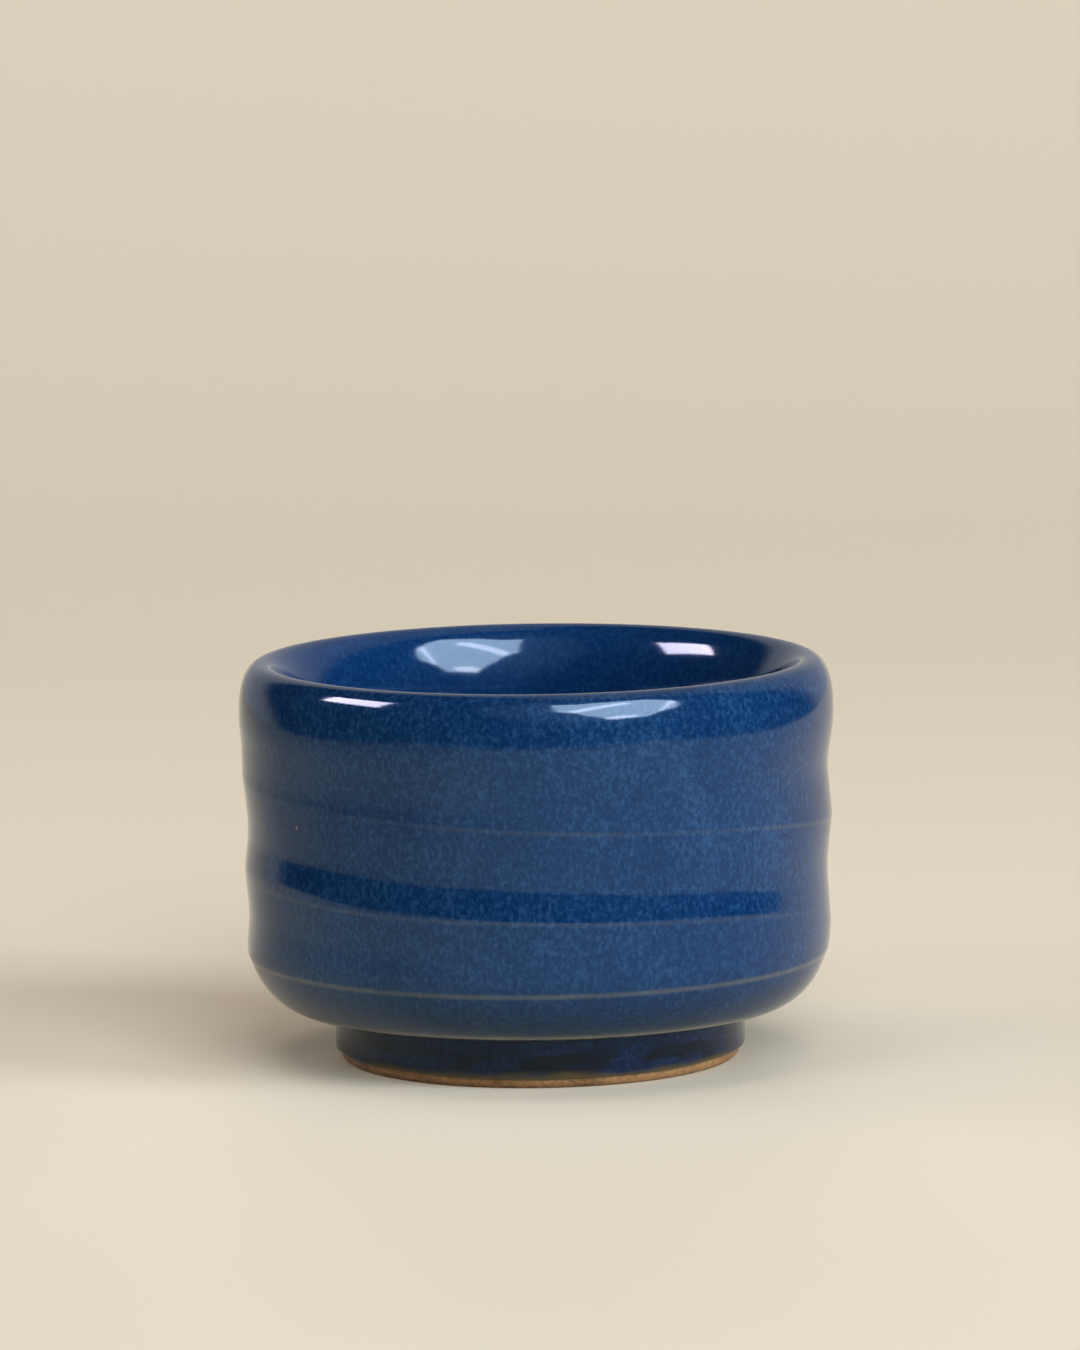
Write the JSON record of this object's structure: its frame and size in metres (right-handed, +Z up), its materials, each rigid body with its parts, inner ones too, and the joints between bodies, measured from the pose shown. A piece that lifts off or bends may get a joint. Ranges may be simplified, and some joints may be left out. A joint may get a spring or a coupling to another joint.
{
  "type": "stoneware cup",
  "caption": "Small handleless stoneware cup: round wheel-thrown bowl with a rolled lip on a foot ring, glossy blue glaze inside and out, bare clay foot edge.",
  "frame": {"origin": "on the surface the cup stands on, under the middle of the foot ring", "axes": "+Z up along the cup's axis; -Y is the side the picture shows"},
  "size_m": [0.066, 0.066, 0.0446],
  "materials": {
    "stoneware": "fired buff stoneware, matt",
    "foot_clay": "fired buff stoneware, sponged, matt",
    "inner_blue_glaze": "glossy mottled cobalt-blue glaze",
    "outer_blue_glaze": "glossy mottled cobalt-blue glaze",
    "foot_blue_glaze": "glossy cobalt-blue glaze, pooled dark",
    "well_blue_glaze": "glossy cobalt-blue glaze"
  },
  "bodies": {
    "root": {"stoneware_bowl": "stoneware", "foot_ring": "foot_clay", "inner_glaze": "inner_blue_glaze", "outer_glaze": "outer_blue_glaze", "foot_glaze": "foot_blue_glaze", "well_glaze": "well_blue_glaze"}
  },
  "joints": []
}
